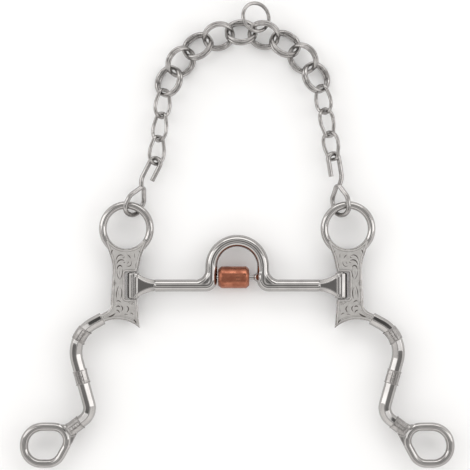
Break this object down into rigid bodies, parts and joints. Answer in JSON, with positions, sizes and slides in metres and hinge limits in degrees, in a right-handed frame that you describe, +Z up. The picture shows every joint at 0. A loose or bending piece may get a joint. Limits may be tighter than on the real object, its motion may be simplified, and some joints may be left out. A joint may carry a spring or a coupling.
{
  "type": "curb bit",
  "caption": "Loose-jaw curb bit with ported mouthpiece, copper roller, engraved cheeks, S shanks and a double-link curb chain on two hooks.",
  "frame": {"origin": "middle of the bounding box, on the table the bit lies on", "axes": "+Y from the mouthpiece towards the curb chain, +X to the bit's right, +Z up off the table"},
  "size_m": [0.2772, 0.297, 0.018],
  "materials": {
    "steel": "polished stainless steel",
    "engraved_silver": "matt engraved silver",
    "copper": "satin copper"
  },
  "bodies": {
    "mouthpiece": {"mouthpiece": "steel", "roller_pin": "steel"},
    "roller": {"roller": "copper"},
    "left_cheek": {"left_cheek": "steel", "left_hinge_pin": "steel", "left_cheek_overlay": "engraved_silver", "left_shank_band_1": "engraved_silver", "left_shank_band_2": "engraved_silver", "left_shank_band_3": "engraved_silver"},
    "right_cheek": {"right_cheek": "steel", "right_hinge_pin": "steel", "right_cheek_overlay": "engraved_silver", "right_shank_band_1": "engraved_silver", "right_shank_band_2": "engraved_silver", "right_shank_band_3": "engraved_silver"},
    "left_hook": {"left_hook": "steel"},
    "right_hook": {"right_hook": "steel"},
    "left_end_link_1": {"left_end_link_1": "steel"},
    "left_end_link_2": {"left_end_link_2": "steel"},
    "left_end_link_3": {"left_end_link_3": "steel"},
    "right_end_link_1": {"right_end_link_1": "steel"},
    "right_end_link_2": {"right_end_link_2": "steel"},
    "right_end_link_3": {"right_end_link_3": "steel"},
    "double_link_1": {"double_link_1a": "steel", "double_link_1b": "steel"},
    "double_link_2": {"double_link_2a": "steel", "double_link_2b": "steel"},
    "double_link_3": {"double_link_3a": "steel", "double_link_3b": "steel"},
    "double_link_4": {"double_link_4a": "steel", "double_link_4b": "steel"},
    "double_link_5": {"double_link_5a": "steel", "double_link_5b": "steel"},
    "double_link_6": {"double_link_6a": "steel", "double_link_6b": "steel"},
    "double_link_7": {"double_link_7a": "steel", "double_link_7b": "steel"},
    "double_link_8": {"double_link_8a": "steel", "double_link_8b": "steel"},
    "double_link_9": {"double_link_9a": "steel", "double_link_9b": "steel"},
    "fly_ring": {"fly_ring": "steel"}
  },
  "joints": [
    {"name": "roller_spin", "type": "hinge", "parent": "mouthpiece", "child": "roller", "pos_m": [0, -0.02697, 0.00825], "axis": [1, 0, 0], "continuous": true},
    {"name": "left_cheek_swivel", "type": "hinge", "parent": "mouthpiece", "child": "left_cheek", "pos_m": [-0.0662, -0.03217, 0.00825], "axis": [0, -1, 0], "range_deg": [0, 90]},
    {"name": "right_cheek_swivel", "type": "hinge", "parent": "mouthpiece", "child": "right_cheek", "pos_m": [0.0662, -0.03217, 0.00825], "axis": [0, 1, 0], "range_deg": [0, 90]},
    {"name": "chain_swing", "type": "hinge", "parent": "mouthpiece", "child": "double_link_5", "pos_m": [0, 0.01847, 0.00825], "axis": [1, 0, 0], "range_deg": [0, 45]},
    {"name": "left_end_link_1_rock", "type": "hinge", "parent": "double_link_5", "child": "left_end_link_1", "pos_m": [-0.05104, 0.0539, 0.00825], "axis": [0.1209, 0.9927, 0], "range_deg": [-5, 5]},
    {"name": "left_end_link_2_rock", "type": "hinge", "parent": "double_link_5", "child": "left_end_link_2", "pos_m": [-0.04922, 0.06879, 0.00825], "axis": [0.1209, 0.9927, 0], "range_deg": [-5, 5]},
    {"name": "left_end_link_3_rock", "type": "hinge", "parent": "double_link_5", "child": "left_end_link_3", "pos_m": [-0.04741, 0.08368, 0.00825], "axis": [0.1209, 0.9927, 0], "range_deg": [-5, 5]},
    {"name": "double_link_1_rock", "type": "hinge", "parent": "double_link_5", "child": "double_link_1", "pos_m": [-0.04358, 0.09792, 0.00825], "axis": [0.3947, 0.9188, 0], "range_deg": [-5, 5]},
    {"name": "double_link_2_rock", "type": "hinge", "parent": "double_link_5", "child": "double_link_2", "pos_m": [-0.03595, 0.11043, 0.00825], "axis": [0.6368, 0.7711, 0], "range_deg": [-5, 5]},
    {"name": "double_link_3_rock", "type": "hinge", "parent": "double_link_5", "child": "double_link_3", "pos_m": [-0.02512, 0.12029, 0.00825], "axis": [0.8276, 0.5613, 0], "range_deg": [-5, 5]},
    {"name": "double_link_4_rock", "type": "hinge", "parent": "double_link_5", "child": "double_link_4", "pos_m": [-0.01195, 0.12671, 0.00825], "axis": [0.9519, 0.3064, 0], "range_deg": [-5, 5]},
    {"name": "double_link_6_rock", "type": "hinge", "parent": "double_link_5", "child": "double_link_6", "pos_m": [0.01705, 0.12748, 0.00825], "axis": [0.967, -0.2549, 0], "range_deg": [-5, 5]},
    {"name": "double_link_7_rock", "type": "hinge", "parent": "double_link_5", "child": "double_link_7", "pos_m": [0.03054, 0.12178, 0.00825], "axis": [0.8565, -0.5161, 0], "range_deg": [-5, 5]},
    {"name": "double_link_8_rock", "type": "hinge", "parent": "double_link_5", "child": "double_link_8", "pos_m": [0.04189, 0.11251, 0.00825], "axis": [0.6772, -0.7358, 0], "range_deg": [-5, 5]},
    {"name": "double_link_9_rock", "type": "hinge", "parent": "double_link_5", "child": "double_link_9", "pos_m": [0.05018, 0.10044, 0.00825], "axis": [0.4434, -0.8963, 0], "range_deg": [-5, 5]},
    {"name": "right_end_link_3_rock", "type": "hinge", "parent": "double_link_5", "child": "right_end_link_3", "pos_m": [0.05477, 0.08642, 0.00825], "axis": [0.1739, -0.9848, 0], "range_deg": [-5, 5]},
    {"name": "right_end_link_2_rock", "type": "hinge", "parent": "double_link_5", "child": "right_end_link_2", "pos_m": [0.05738, 0.07165, 0.00825], "axis": [0.1739, -0.9848, 0], "range_deg": [-5, 5]},
    {"name": "right_end_link_1_rock", "type": "hinge", "parent": "double_link_5", "child": "right_end_link_1", "pos_m": [0.05998, 0.05687, 0.00825], "axis": [0.1739, -0.9848, 0], "range_deg": [-5, 5]},
    {"name": "left_hook_twist", "type": "hinge", "parent": "double_link_5", "child": "left_hook", "pos_m": [-0.0662, 0.01847, 0.00825], "axis": [0.454, 0.891, 0], "range_deg": [-46, 1]},
    {"name": "right_hook_twist", "type": "hinge", "parent": "double_link_5", "child": "right_hook", "pos_m": [0.0662, 0.01847, 0.00825], "axis": [-0.1564, 0.9877, 0], "range_deg": [-1, 46]},
    {"name": "fly_ring_swing", "type": "hinge", "parent": "double_link_6", "child": "fly_ring", "pos_m": [0.01705, 0.12748, 0.00825], "axis": [0.967, -0.2549, 0], "range_deg": [-6, 6]}
  ],
  "couplings": [
    {"joint": "left_hook_twist", "follows": "left_cheek_swivel", "ratio": -0.5},
    {"joint": "right_hook_twist", "follows": "right_cheek_swivel", "ratio": 0.5}
  ]
}
